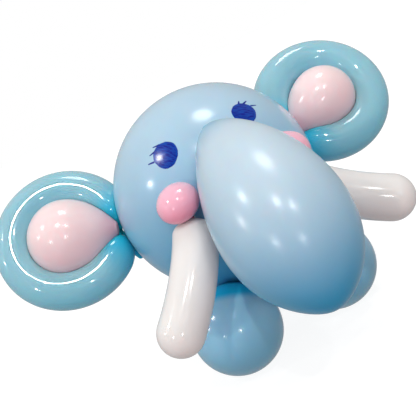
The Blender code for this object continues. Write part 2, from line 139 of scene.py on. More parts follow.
# Where each balloon sits: azimuth and latitude on the head, and where it points, in degrees
TRUNK_ROOT = (-1.6, 34.5)
TRUNK_POINTS = (-3.3, -50.4)
EARS = {
    "right": {"place": (-102.8, 8.3), "faces": (-2.3, 30.9), "ball_press": 0.0080, "ball_sink": 0.0020},
    "left": {"place": (102.5, 6.5), "faces": (-1.5, 33.1), "ball_press": 0.0030, "ball_sink": 0.0040},
}
CHEEKS = {"right": (-29.6, 10.4), "left": (24.4, 6.8)}
TUSKS = {
    "right": {"starts": (-38.0, -44.4), "ends": (-70.9, -38.2), "length": 0.1205},
    "left": {"starts": (34.2, -41.6), "ends": (70.3, -28.0), "length": 0.1120},
}
FOOT_LATITUDE = -53.8
FEET = {
    "front_foot_right": (-43.9, FOOT_PRESS),
    "front_foot_left": (46.8, FOOT_DEEP_PRESS),
    "rear_foot_right": (-139.0, FOOT_PRESS),
    "rear_foot_left": (139.0, FOOT_PRESS),
}

# Eyes drawn on the head with a marker: place, radius, the waves of the outline as a count, a height and
# a turn, and lashes from root to tip
EYES = (
    {
        "place": (-30.6, 35.3),
        "radius": 0.0153,
        "waves": ((1, 0.0006, 92.0), (2, 0.0007, -64.0), (3, 0.0003, 27.0)),
        "lashes": (
            ((-33.6, 42.3), (-38.4, 42.5)),
            ((-38.1, 39.6), (-41.7, 38.9)),
            ((-39.5, 34.5), (-43.6, 34.6)),
        ),
    },
    {
        "place": (27.2, 34.4),
        "radius": 0.0148,
        "waves": ((1, 0.0005, 107.0), (2, 0.0009, 26.0), (3, 0.0002, 13.0)),
        "lashes": (
            ((31.1, 40.6), (33.4, 41.8)),
            ((34.2, 39.1), (37.9, 39.4)),
            ((36.7, 35.6), (40.0, 34.3)),
        ),
    },
)

# The marker's lashes, and its ink: a shaken outline, a lighter line just inside it and slanting strokes
LASH_WIDTH = 0.0025
LASH_THINNING = 0.45
INK_EDGE = 0.00025
INK_SHAKE = 0.0012
INK_SHAKE_SCALE = 260.0
INK_SHAKE_DETAIL = 2.0
INK_RIM_DEPTH = 0.0017
INK_RIM_WIDTH = 0.0014
INK_RIM_LIGHT = 0.85
INK_PATCH_SCALE = 120.0
INK_PATCH_DETAIL = 1.0
INK_PATCH_RANGE = (0.4, 0.6)
INK_PATCH_LEAST = 0.2
INK_STROKE_TURN = 38.0
INK_STROKE_SCALES = (520.0, 110.0)
INK_STROKE_DETAIL = 3.0
INK_STROKE_RANGE = (0.40, 0.60)
INK_STROKE_LIGHT = 0.75

# Colours of the latex: where it is blown thin and faces up, where that faces down, and where it gathers;
# the first two differ as painted light and shade, and the last is also painted shade on the feet under
# the head and on the ring's knot end
HEAD_BLUE = ((0.42, 0.58, 0.70), (0.08, 0.38, 0.63), (0.01, 0.26, 0.46))
TRUNK_BLUE = ((0.51, 0.62, 0.70), (0.0, 0.28, 0.52), (0.02, 0.28, 0.46))
FOOT_BLUE = ((0.33, 0.60, 0.79), (0.19, 0.42, 0.58), (0.01, 0.45, 0.74))
TEAL = ((0.28, 0.50, 0.57), (0.22, 0.54, 0.68), (0.01, 0.44, 0.64))
PEARL_PINK = ((0.84, 0.66, 0.66), (0.86, 0.59, 0.64), (0.70, 0.40, 0.46))
CHEEK_PINK = ((0.86, 0.47, 0.57), (0.89, 0.32, 0.44), (0.85, 0.28, 0.40))
WHITE = ((0.76, 0.73, 0.71), (0.86, 0.75, 0.74), (0.78, 0.62, 0.60))
INK_DARK = (0.0, 0.010, 0.24)
INK_LIGHT = (0.0, 0.065, 0.42)

# How far light of each colour travels inside a balloon
BLUE_REACH = (0.003, 0.010, 0.016)
TEAL_REACH = (0.002, 0.010, 0.016)
PINK_REACH = (0.012, 0.006, 0.007)
WHITE_REACH = (0.014, 0.012, 0.011)

# Each latex: its colours and reach, how rough the satin and the gloss over it are, how far a face turns
# up as its painted light and shade change, and how stretched the latex is as it pales, which on the feet
# also sets where painted shade fades
LATEXES = {
    "head_latex": (HEAD_BLUE, BLUE_REACH, 0.34, 0.17, (-0.8, 0.9), (0.05, 0.75)),
    "trunk_latex": (TRUNK_BLUE, BLUE_REACH, 0.38, 0.24, (-0.8, 0.9), (0.05, 0.75)),
    "foot_latex": (FOOT_BLUE, BLUE_REACH, 0.34, 0.17, (-0.6, 0.6), (0.38, 0.60)),
    "ring_latex": (TEAL, TEAL_REACH, 0.28, 0.05, (-0.8, 0.9), (0.2, 0.98)),
    "ear_ball_latex": (PEARL_PINK, PINK_REACH, 0.40, 0.20, (-0.8, 0.9), (0.05, 0.75)),
    "cheek_latex": (CHEEK_PINK, PINK_REACH, 0.28, 0.09, (-0.8, 0.9), (0.05, 0.75)),
    "tusk_latex": (WHITE, WHITE_REACH, 0.30, 0.12, (-0.8, 0.9), (0.05, 0.75)),
}
SKIN_SPECULAR = 0.08
COAT_WEIGHT = 0.85
SUBSURFACE_WEIGHT = 0.6
CLOUD_SCALE = 14.0
CLOUD_DETAIL = 3.0
CLOUD_DEPTH = 0.06
GRAIN_SCALE = 900.0
GRAIN_DETAIL = 4.0
GRAIN_ROUGHNESS = 0.15
GRAIN_BUMP = 0.04
GRAIN_HEIGHT = 0.0003
NOISE_MIDDLE = 0.5

# Sockets of the Mix node that take and give colours
MIX_SHARE = 0
MIX_FIRST = 6
MIX_SECOND = 7
MIX_RESULT = 2

# Suns: the way to each, how wide it looks in degrees, and its strength; the widest aren't mirrored
SUNS = {
    "sun_above": ((0.30, -0.02, 0.95), 16.0, 0.70),
    "sun_right_high": ((-0.58, -0.06, 0.81), 4.0, 0.46),
    "sun_right": ((-0.86, 0.0, 0.51), 4.0, 0.30),
    "sun_front_high": ((-0.074, -0.586, 0.806), 1.8, 0.55),
    "sun_front_left": ((0.20, -0.71, 0.675), 2.6, 0.45),
    "sun_front": ((-0.05, -0.97, 0.22), 3.0, 0.30),
    "sun_front_right": ((-0.69, -0.66, 0.29), 4.0, 0.34),
    "sun_fill": ((-0.25, -0.95, -0.05), 90.0, 0.15),
}
SUN_WIDEST_MIRRORED = 30.0

# Room around the elephant: its light above and below, how far below level it fades, the shares of it that
# are mirrored before the elephant and behind it, and the depths between which that share changes
SKY_LIGHT = 0.46
SKY_DARK = 0.43
SKY_FADE = 0.60
ROOM_BEFORE = 0.22
ROOM_BEHIND = 0.95
ROOM_FADE = (-0.5, 0.6)

# Pale floor
FLOOR_RADIUS = 30.0
FLOOR_SIDES = 96
FLOOR_COLOUR = (0.18, 0.18, 0.18)
FLOOR_GLOW = 0.90

# Corners around each skin, and steps along it
HEAD_SIDES = 160
HEAD_STEPS = 100
TRUNK_SIDES = 144
TRUNK_STEPS = 120
RING_SIDES = 64
RING_STEPS = 110
BALL_SIDES = 112
BALL_STEPS = 72
SMALL_SIDES = 80
SMALL_STEPS = 48
TUSK_STEPS = 90
ROUND_STEPS = 20
TIE_SIDES = 32
KNOT_STEPS = 14
NOZZLE_STEPS = 8
ROLL_STEPS = 10
CAP_STEPS = 8
BEND_STEPS = 64
SETTLE_ROUNDS = 3

# Azimuth and latitude of a line that runs along no edge of any balloon, and a step that clears a skin
TEST_LINE = (118.7, 69.4)
TINY_STEP = 1e-6

# The photograph's camera: where it stands around the head's centre, and where it looks
CAMERA_PLACE = (-12.0, 10.0)
CAMERA_DISTANCE = 0.86
CAMERA_LOOKS = (169.448, -11.2995)
CAMERA_ROLL = -28.3
CAMERA_LENS = 61.08
SENSOR_WIDTH = 36.0


def direction(azimuth, latitude):
    """Unit vector for an azimuth and a latitude in degrees."""
    turn = math.radians(azimuth)
    rise = math.radians(latitude)
    return Vector((math.sin(turn) * math.cos(rise), -math.cos(turn) * math.cos(rise), math.sin(rise)))


def on_head(azimuth, latitude, height):
    """Point at a height above the head's skin."""
    return direction(azimuth, latitude) * (HEAD_RADIUS + height)


def head_middle():
    """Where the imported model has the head's centre."""
    low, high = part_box("head")
    return Vector(((low.x + high.x) / 2, (low.y + high.y) / 2, high.z - HEAD_RADIUS))


HEAD_CENTRE = head_middle()


def neck_turn(radius, taper, neck_radius):
    """Angle from the crown at which a body has narrowed to its neck."""
    return math.pi - math.asin((neck_radius / radius) ** (1 / taper))


def body_profile(radius, crown, shoulder, taper, neck_radius, steps):
    """Distance from the widest ring and radius there, from the crown to the start of the neck."""
    last_turn = neck_turn(radius, taper, neck_radius)
    profile = []
    for step in range(steps + 1):
        turn = last_turn * step / steps
        if turn <= math.pi / 2:
            profile.append((-crown * math.cos(turn), radius * math.sin(turn)))
        else:
            profile.append((-shoulder * math.cos(turn), radius * math.sin(turn) ** taper))
    return profile


def tie_profile(start, neck_radius, neck_length):
    """The tied end after a body: bare neck, knot, and a nozzle that flares to a rolled lip."""
    knot_start = start + neck_length
    profile = [(start + neck_length / 2, neck_radius)]
    for step in range(KNOT_STEPS + 1):
        turn = math.pi * step / KNOT_STEPS
        across = neck_radius + (KNOT_RADIUS - neck_radius) * math.sqrt(math.sin(turn))
        profile.append((knot_start + KNOT_RADIUS * (1 - math.cos(turn)), across))
    nozzle = knot_start + 2 * KNOT_RADIUS
    mouth = NOZZLE_RADIUS - LIP_ROLL
    flare = NOZZLE_LENGTH - LIP_ROLL
    for step in range(1, NOZZLE_STEPS + 1):
        share = step / NOZZLE_STEPS
        across = neck_radius + (mouth - neck_radius) * share ** NOZZLE_FLARE
        profile.append((nozzle + flare * share, across))
    for step in range(1, ROLL_STEPS + 1):
        turn = math.pi * (step / ROLL_STEPS - 0.5)
        profile.append((nozzle + flare + LIP_ROLL * math.sin(turn), mouth + LIP_ROLL * math.cos(turn)))
    profile.append((nozzle + flare, mouth - LIP_ROLL))
    profile.append((nozzle + flare / 2, neck_radius / 2))
    profile.append((nozzle + flare / 2, 0.0))
    return profile


def point_on(path, distance):
    """Point and tangent at a distance along a path, which runs on straight past both its ends."""
    travelled = 0.0
    for first, second in zip(path, path[1:]):
        step = (second - first).length
        if distance <= travelled + step or second is path[-1]:
            tangent = (second - first).normalized()
            return first + tangent * (distance - travelled), tangent
        travelled += step
    raise ValueError("a path needs two points")


def bent_path(start, first_heading, last_heading, length):
    """Path of a given length whose heading turns evenly from one azimuth and latitude to another."""
    path = [start]
    for step in range(BEND_STEPS):
        share = (step + 0.5) / BEND_STEPS
        heading = [a + (b - a) * share for a, b in zip(first_heading, last_heading)]
        path.append(path[-1] + direction(*heading) * (length / BEND_STEPS))
    return path


def stations_along(path, profile):
    """Turn a profile of distances and radii into centres, tangents and radii along a path."""
    return [(*point_on(path, distance), radius) for distance, radius in profile]


class Skin:
    """Corners, faces and how far the latex is stretched at each corner, around the head's centre; on the
    feet and the ring's knot end that value also holds painted shade.
    """

    def __init__(self):
        self.points = []
        self.faces = []
        self.stretch_and_shade = []
        self.widest = 0.0

    def cover(self, stations, sides, closed_loop=False, pleats=0, crown=None):
        """Cover a row of stations, each a centre, a tangent and a radius, pleated where it is narrow.

        The crown, the end that isn't tied, is the first or the last station, or there is none.
        """
        radii = [radius for _, _, radius in stations]
        self.widest = max(self.widest, *radii)
        middle = radii.index(max(radii))
        widest = self.widest
        across = stations[0][1].orthogonal().normalized()
        tangent_before = stations[0][1]
        rows = []
        for number, (centre, tangent, radius) in enumerate(stations):
            across = tangent_before.rotation_difference(tangent) @ across
            tangent_before = tangent
            up = tangent.cross(across).normalized()
            side = up.cross(tangent).normalized()
            size = radius / widest
            if (crown == "first" and number < middle) or (crown == "last" and number > middle):
                size = 1.0
            first = len(self.points)
            if radius <= 0:
                self.points.append(centre.copy())
                self.stretch_and_shade.append(size)
                rows.append([first] * sides)
                continue
            gathered = PLEAT_DEPTH * (1 - size) ** PLEAT_REACH
            for index in range(sides):
                turn = 2 * math.pi * index / sides
                reach = radius * (1 + gathered * math.cos(pleats * turn))
                self.points.append(centre + (side * math.cos(turn) + up * math.sin(turn)) * reach)
                self.stretch_and_shade.append(size)
            rows.append(list(range(first, first + sides)))
        pairs = list(zip(rows, rows[1:]))
        if closed_loop:
            pairs.append((rows[-1], rows[0]))
        for first_row, second_row in pairs:
            for index in range(sides):
                after = (index + 1) % sides
                corners = [first_row[index], first_row[after], second_row[after], second_row[index]]
                face = list(dict.fromkeys(corners))
                if len(face) > 2:
                    self.faces.append(face)
        return self

    def tree(self):
        """Search tree of the skin with the corners of its box."""
        places = np.array(self.points)
        return BVHTree.FromPolygons(self.points, self.faces), places.min(axis=0), places.max(axis=0)


def is_inside(tree, point):
    """Whether a line from a point leaves through a closed skin an odd number of times."""
    crossings = 0
    start = point
    heading = direction(*TEST_LINE)
    while True:
        hit = tree.ray_cast(start, heading)[0]
        if hit is None:
            return crossings % 2 == 1
        crossings += 1
        start = hit + heading * TINY_STEP


def settle(skin, neighbours):
    """Flatten a balloon where it presses on the ones that are in place already."""
    for _ in range(SETTLE_ROUNDS):
        for tree, low, high in neighbours:
            places = np.array(skin.points)
            near = np.all((places > low - GAP) & (places < high + GAP), axis=1)
            for index in np.nonzero(near)[0]:
                point = skin.points[index]
                place, normal, _, distance = tree.find_nearest(point)
                if (point - place).dot(normal) >= GAP:
                    continue
                if distance < GAP or is_inside(tree, point):
                    skin.points[index] = place + normal * GAP


def capsule(skin, path, radii, pleats=0):
    """Cover a round-ended tube through a few points, with a radius at each."""
    stations = []
    first_tangent = (path[1] - path[0]).normalized()
    last_tangent = (path[-1] - path[-2]).normalized()
    for step in range(CAP_STEPS):
        turn = math.pi / 2 * step / CAP_STEPS
        centre = path[0] - first_tangent * radii[0] * math.cos(turn)
        stations.append((centre, first_tangent, radii[0] * math.sin(turn)))
    for index, (point, radius) in enumerate(zip(path, radii)):
        before = path[max(index - 1, 0)]
        after = path[min(index + 1, len(path) - 1)]
        stations.append((point, (after - before).normalized(), radius))
    for step in reversed(range(CAP_STEPS)):
        turn = math.pi / 2 * step / CAP_STEPS
        centre = path[-1] + last_tangent * radii[-1] * math.cos(turn)
        stations.append((centre, last_tangent, radii[-1] * math.sin(turn)))
    skin.cover(stations, TIE_SIDES, pleats=pleats)


def head_skin():
    """Round balloon, tied at its lowest point."""
    radius = HEAD_RADIUS
    profile = body_profile(radius, radius, radius, ROUND_TAPER, HEAD_NECK_RADIUS, HEAD_STEPS)
    profile += tie_profile(profile[-1][0], HEAD_NECK_RADIUS, HEAD_NECK_LENGTH)
    down = Vector((0.0, 0.0, -1.0))
    return Skin().cover(stations_along([Vector(), down * radius], profile), HEAD_SIDES, crown="first")


def trunk_frame():
    """The trunk's root, its heading and the way its middle bows."""
    root = on_head(*TRUNK_ROOT, TRUNK_ROOT_HEIGHT)
    heading = direction(*TRUNK_POINTS)
    left = Vector((1.0, 0.0, 0.0))
    left = (left - heading * left.dot(heading)).normalized()
    up = heading.cross(left)
    bow = left * TRUNK_BOW_LEFT + up * TRUNK_BOW_UP
    return root, heading, bow


def trunk_swell(share):
    """How wide the egg is at a share of its length, before it is scaled to the trunk's radius."""
    tip = math.sqrt(1 - share) * (1 - share + TRUNK_TIP_ROUNDING) ** TRUNK_SLIMNESS
    return share ** TRUNK_BLUNTNESS * tip * math.exp(TRUNK_FATNESS * share)


def trunk_skin():
    """Egg along a slightly bowed axis."""
    root, heading, bow = trunk_frame()
    shares = [(1 - math.cos(math.pi * step / TRUNK_STEPS)) / 2 for step in range(TRUNK_STEPS + 1)]
    swell = [trunk_swell(share) for share in shares]
    stations = []
    for share, size in zip(shares, swell):
        centre = root + heading * (TRUNK_LENGTH * share) + bow * (4 * share * (1 - share))
        tangent = (heading * TRUNK_LENGTH + bow * (4 - 8 * share)).normalized()
        stations.append((centre, tangent, TRUNK_RADIUS * size / max(swell)))
    return Skin().cover(stations, TRUNK_SIDES, crown="last")


def cover_trunk_tie(skin):
    """The trunk's neck and knot, turned in to the head behind its blunt end."""
    root, heading, _ = trunk_frame()
    inner = root + heading * TRUNK_NECK_DEPTH
    knot = root.normalized() * (HEAD_RADIUS + GAP + KNOT_RADIUS) - heading * TRUNK_KNOT_BACK
    capsule(skin, [inner, root, knot], (TRUNK_NECK_RADIUS, TRUNK_NECK_RADIUS, KNOT_RADIUS))


def ear_frame(ear):
    """A ring's centre, its normal, the way to its knot, and the way along the ring to the ground."""
    away = HEAD_RADIUS + GAP + RING_KNOT_RADIUS + RING_RADIUS
    centre = direction(*ear["place"]) * away
    normal = direction(*ear["faces"])
    to_head = (normal * centre.dot(normal) - centre).normalized()
    down = to_head.cross(normal)
    if down.z > 0:
        down.negate()
    turn = math.radians(RING_KNOT_TURN)
    to_knot = to_head * math.cos(turn) + down * math.sin(turn)
    down_there = down * math.cos(turn) - to_head * math.sin(turn)
    return centre, normal, to_knot, down_there


def ring_knot(ear):
    """Where a ring is tied end to end."""
    centre, _, to_knot, _ = ear_frame(ear)
    return centre + to_knot * RING_RADIUS


def ring_tube_radius(distance):
    """Radius of the ring's tube at a distance from its knot."""
    share = min(1.0, max(0.0, (distance - RING_KNOT_RADIUS) / RING_SHOULDER))
    dome = (1 - (1 - share) ** RING_DOME) ** (1 / RING_DOME)
    return max(RING_KNOT_RADIUS, RING_TUBE_RADIUS * dome)


def ring_skin(ear):
    """Thin balloon bent to a ring, tied end to end beside the head."""
    centre, _, to_knot, down = ear_frame(ear)
    stations = []
    stretch_and_shade = []
    for step in range(-RING_STEPS + 1, RING_STEPS + 1):
        turn = math.copysign(math.pi * (abs(step) / RING_STEPS) ** RING_STEP_GROWTH, step)
        outward = to_knot * math.cos(turn) + down * math.sin(turn)
        tangent = down * math.cos(turn) - to_knot * math.sin(turn)
        radius = ring_tube_radius(abs(turn) * RING_RADIUS)
        stations.append((centre + outward * RING_RADIUS, tangent, radius))
        # Deeper towards the knot: gathered latex, and painted shade on the knot end beside the head
        stretch_and_shade += [min(1.0, abs(turn) * RING_RADIUS / RING_PALE_REACH)] * RING_SIDES
    skin = Skin().cover(stations, RING_SIDES, closed_loop=True)
    skin.stretch_and_shade = stretch_and_shade
    return skin


def cover_ring_tail(skin, ear):
    """The ring's slack end, hanging from the knot along the head."""
    knot = ring_knot(ear)
    azimuth = math.degrees(math.atan2(knot.x, -knot.y))
    latitude = math.degrees(math.asin(knot.z / knot.length))
    turn = math.copysign(RING_TAIL_TURN, azimuth)
    path = [knot]
    radii = [RING_KNOT_RADIUS]
    for share, size in RING_TAIL_SHAPE:
        radius = RING_TAIL_RADIUS * size
        place = (azimuth + turn * share, latitude - RING_TAIL_FALL * share)
        path.append(on_head(*place, GAP + radius))
        radii.append(radius)
    capsule(skin, path, radii)


def ear_ball_radius(ear):
    """Radius of the ball, which presses the ring's tube outwards a little."""
    return RING_RADIUS - RING_TUBE_RADIUS + ear["ball_press"]


def ear_ball_skin(ear):
    """Teardrop balloon sitting in the ring, its blunt tip in front of the ring's knot."""
    centre, normal, to_knot, down = ear_frame(ear)
    middle = centre + normal * EAR_BALL_PROUD + to_knot * EAR_BALL_INWARD + down * ear["ball_sink"]
    tip = EAR_BALL_TIP_RADIUS
    goal = ring_knot(ear) + normal * (RING_KNOT_RADIUS + GAP + tip)
    heading = (goal - middle).normalized()
    radius = ear_ball_radius(ear)
    shoulder = -(goal - middle).length / math.cos(neck_turn(radius, EAR_BALL_TAPER, tip))
    profile = body_profile(radius, radius, shoulder, EAR_BALL_TAPER, tip, BALL_STEPS)
    end = profile[-1][0]
    for step in range(1, CAP_STEPS + 1):
        turn = math.pi / 2 * step / CAP_STEPS
        across = tip * math.cos(turn) if step < CAP_STEPS else 0.0
        profile.append((end + EAR_BALL_TIP_DEPTH * math.sin(turn), across))
    return Skin().cover(stations_along([middle, middle + heading], profile), BALL_SIDES, crown="first")


def neck_room(inward):
    """Free space around a point that is inward of the ring's knot, up to the tube on either side."""
    room = math.inf
    for step in range(RING_STEPS):
        turn = math.pi / 2 * step / RING_STEPS
        deep = RING_RADIUS * (1 - math.cos(turn))
        aside = RING_RADIUS * math.sin(turn)
        room = min(room, math.hypot(inward - deep, aside) - ring_tube_radius(turn * RING_RADIUS))
    return room


def neck_inward():
    """How far inward of the ring's knot there is room for the ball's neck."""
    inward = RING_KNOT_RADIUS
    while neck_room(inward) < NECK_RADIUS + EAR_BALL_NECK_ROOM:
        inward += GAP
    return inward


def cover_ear_ball_tie(skin, ear):
    """The ball's neck and knot, drawn back through the ring beside the ring's own knot."""
    _, normal, to_knot, _ = ear_frame(ear)
    beside = ring_knot(ear) - to_knot * neck_inward()
    start = beside + normal * KNOT_RADIUS
    behind = beside - normal * EAR_BALL_NECK_DEPTH
    capsule(skin, [start, beside, behind], (NECK_RADIUS, NECK_RADIUS, KNOT_RADIUS))


def cheek_centre(side):
    """Centre of a cheek that is pressed a little into the head."""
    return on_head(*CHEEKS[side], CHEEK_RADIUS - CHEEK_PRESS)


def twist_point(side):
    """Where a cheek is twisted to its tusk, below the cheek and just above the head's skin."""
    azimuth, latitude = CHEEKS[side]
    twist_height = GAP + TWIST_RADIUS
    low = HEAD_RADIUS + twist_height
    high = HEAD_RADIUS + CHEEK_RADIUS - CHEEK_PRESS
    reach = CHEEK_SHOULDER + CHEEK_NECK_LENGTH
    drop = math.degrees(math.acos((low ** 2 + high ** 2 - reach ** 2) / (2 * low * high)))
    return on_head(azimuth, latitude - drop, twist_height)


def cheek_skin(side):
    """Small balloon beside the trunk, twisted to the tusk below it."""
    centre = cheek_centre(side)
    heading = twist_point(side) - centre
    reach = heading.length - 0.5 * GAP
    heading.normalize()
    radius = CHEEK_RADIUS
    profile = body_profile(radius, CHEEK_CROWN, CHEEK_SHOULDER, CHEEK_TAPER, TWIST_RADIUS, SMALL_STEPS)
    profile.append((reach, TWIST_RADIUS))
    profile.append((reach, 0.0))
    stations = stations_along([centre, centre + heading], profile)
    return Skin().cover(stations, SMALL_SIDES, pleats=TWIST_PLEATS, crown="first")


def tusk_skin(side):
    """White balloon curving outward from its twist below the cheek."""
    tusk = TUSKS[side]
    twist = twist_point(side)
    down = (twist - cheek_centre(side)).normalized()
    start = twist + down * (0.5 * GAP)
    body_start = start + down * TUSK_NECK_LENGTH
    path = [start] + bent_path(body_start, tusk["starts"], tusk["ends"], tusk["length"])
    profile = [(0.0, 0.0), (0.0, TWIST_RADIUS), (TUSK_NECK_LENGTH, TWIST_RADIUS)]
    for step in range(1, ROUND_STEPS + 1):
        turn = math.pi / 2 * step / ROUND_STEPS
        radius = max(TWIST_RADIUS, TUSK_ROOT_RADIUS * math.sin(turn))
        profile.append((TUSK_NECK_LENGTH + TUSK_SHOULDER * (1 - math.cos(turn)), radius))
    straight = tusk["length"] - TUSK_SHOULDER
    for step in range(1, TUSK_STEPS + 1):
        share = step / TUSK_STEPS
        radius = TUSK_ROOT_RADIUS + (TUSK_RADIUS - TUSK_ROOT_RADIUS) * math.sin(share * math.pi / 2)
        profile.append((TUSK_NECK_LENGTH + TUSK_SHOULDER + straight * share, radius))
    for step in range(1, ROUND_STEPS + 1):
        turn = math.pi / 2 * step / ROUND_STEPS
        along = TUSK_NECK_LENGTH + tusk["length"] + TUSK_RADIUS * math.sin(turn)
        profile.append((along, TUSK_RADIUS * math.cos(turn) if step < ROUND_STEPS else 0.0))
    return Skin().cover(stations_along(path, profile), SMALL_SIDES, pleats=TWIST_PLEATS, crown="last")


def foot_centre(azimuth, press):
    """Centre of a foot that is pressed into the head, all four at one height."""
    height = on_head(0.0, FOOT_LATITUDE, FOOT_RADIUS - FOOT_PRESS).z
    away = HEAD_RADIUS + FOOT_RADIUS - press
    out = direction(azimuth, 0.0) * math.sqrt(away ** 2 - height ** 2)
    return Vector((out.x, out.y, height))


def ground_height():
    """Height of the ground below the head's centre, where each foot is flat by a small patch."""
    drop = math.sqrt(FOOT_RADIUS ** 2 - FOOT_FLAT_RADIUS ** 2)
    return foot_centre(0.0, FOOT_PRESS).z - drop


def foot_skin(azimuth, press):
    """Round balloon under the head, tied to the others below the head's knot."""
    centre = foot_centre(azimuth, press)
    outward = Vector((centre.x, centre.y, 0.0)).normalized()
    meeting = Vector((0.0, 0.0, centre.z)) + outward * FOOT_TIE_SPACING
    heading = (meeting - centre).normalized()
    radius = FOOT_RADIUS
    profile = body_profile(radius, radius, FOOT_SHOULDER, FOOT_TAPER, NECK_RADIUS, BALL_STEPS)
    body_end = profile[-1][0]
    neck_length = (meeting - centre).length - body_end - 2 * KNOT_RADIUS - NOZZLE_LENGTH
    profile += tie_profile(body_end, NECK_RADIUS, neck_length)
    stations = stations_along([centre, centre + heading], profile)
    return Skin().cover(stations, BALL_SIDES, pleats=TIE_PLEATS, crown="first")


def stand_on_ground(skin):
    """Press a foot flat where it stands on the ground."""
    ground = ground_height()
    for point in skin.points:
        point.z = max(point.z, ground)


def paint_shade_under_head(skin):
    """Paint shade into a foot's colour where it lies close under the head, deepening it as the head's
    shadow would.
    """
    for index, point in enumerate(skin.points):
        away = max(0.0, point.length - HEAD_RADIUS)
        skin.stretch_and_shade[index] = min(skin.stretch_and_shade[index], away / FOOT_SHADE_REACH)


def add_skin(name, skin, node, material):
    """Smooth mesh piece from a skin, which takes a node's place and rides on the one body."""
    mesh = bpy.data.meshes.new(name)
    mesh.from_pydata([point + HEAD_CENTRE for point in skin.points], [], skin.faces)
    mesh.shade_smooth()
    # How far each corner faces up, from which the latex paints light and shade into its colour
    rise = [vertex.normal.z for vertex in mesh.vertices]
    mesh.attributes.new("stretch_and_shade", "FLOAT", "POINT").data.foreach_set("value", skin.stretch_and_shade)
    mesh.attributes.new("rise", "FLOAT", "POINT").data.foreach_set("value", rise)
    mesh.materials.append(material)
    mesh.validate()
    piece = bpy.data.objects.new(name, mesh)
    bpy.context.collection.objects.link(piece)
    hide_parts(node)
    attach(piece, "root")


def add_node(tree, kind, **settings):
    """Shader node with its settings."""
    node = tree.nodes.new(kind)
    for name, value in settings.items():
        setattr(node, name, value)
    return node


def feed(tree, socket, value):
    """Give a socket a value, or link another node's output to it."""
    if isinstance(value, bpy.types.NodeSocket):
        tree.links.new(value, socket)
    else:
        socket.default_value = value


def figure(tree, operation, *values, use_clamp=False):
    """Result of a calculation with numbers."""
    node = add_node(tree, "ShaderNodeMath", operation=operation, use_clamp=use_clamp)
    for socket, value in zip(node.inputs, values):
        feed(tree, socket, value)
    return node.outputs["Value"]


def vector_figure(tree, operation, *values, gives="Vector"):
    """Result of a calculation with vectors."""
    node = add_node(tree, "ShaderNodeVectorMath", operation=operation)
    for socket, value in zip(node.inputs, values):
        feed(tree, socket, value)
    return node.outputs[gives]


def between(tree, value, low, high, first, last):
    """Change smoothly from a first to a last value while another goes from low to high."""
    node = add_node(tree, "ShaderNodeMapRange", interpolation_type="SMOOTHSTEP")
    given = {"Value": value, "From Min": low, "From Max": high, "To Min": first, "To Max": last}
    for name, setting in given.items():
        feed(tree, node.inputs[name], setting)
    return node.outputs["Result"]


def noise(tree, vector, scale, detail):
    """Soft noise around a half."""
    node = add_node(tree, "ShaderNodeTexNoise")
    feed(tree, node.inputs["Vector"], vector)
    node.inputs["Scale"].default_value = scale
    node.inputs["Detail"].default_value = detail
    return node.outputs["Fac"]


def mix_colours(tree, share, first, second, blend="MIX"):
    """Mix two colours."""
    node = add_node(tree, "ShaderNodeMix", data_type="RGBA", blend_type=blend)
    feed(tree, node.inputs[MIX_SHARE], share)
    for number, colour in ((MIX_FIRST, first), (MIX_SECOND, second)):
        is_linked = isinstance(colour, bpy.types.NodeSocket)
        feed(tree, node.inputs[number], colour if is_linked else (*colour, 1.0))
    return node.outputs[MIX_RESULT]


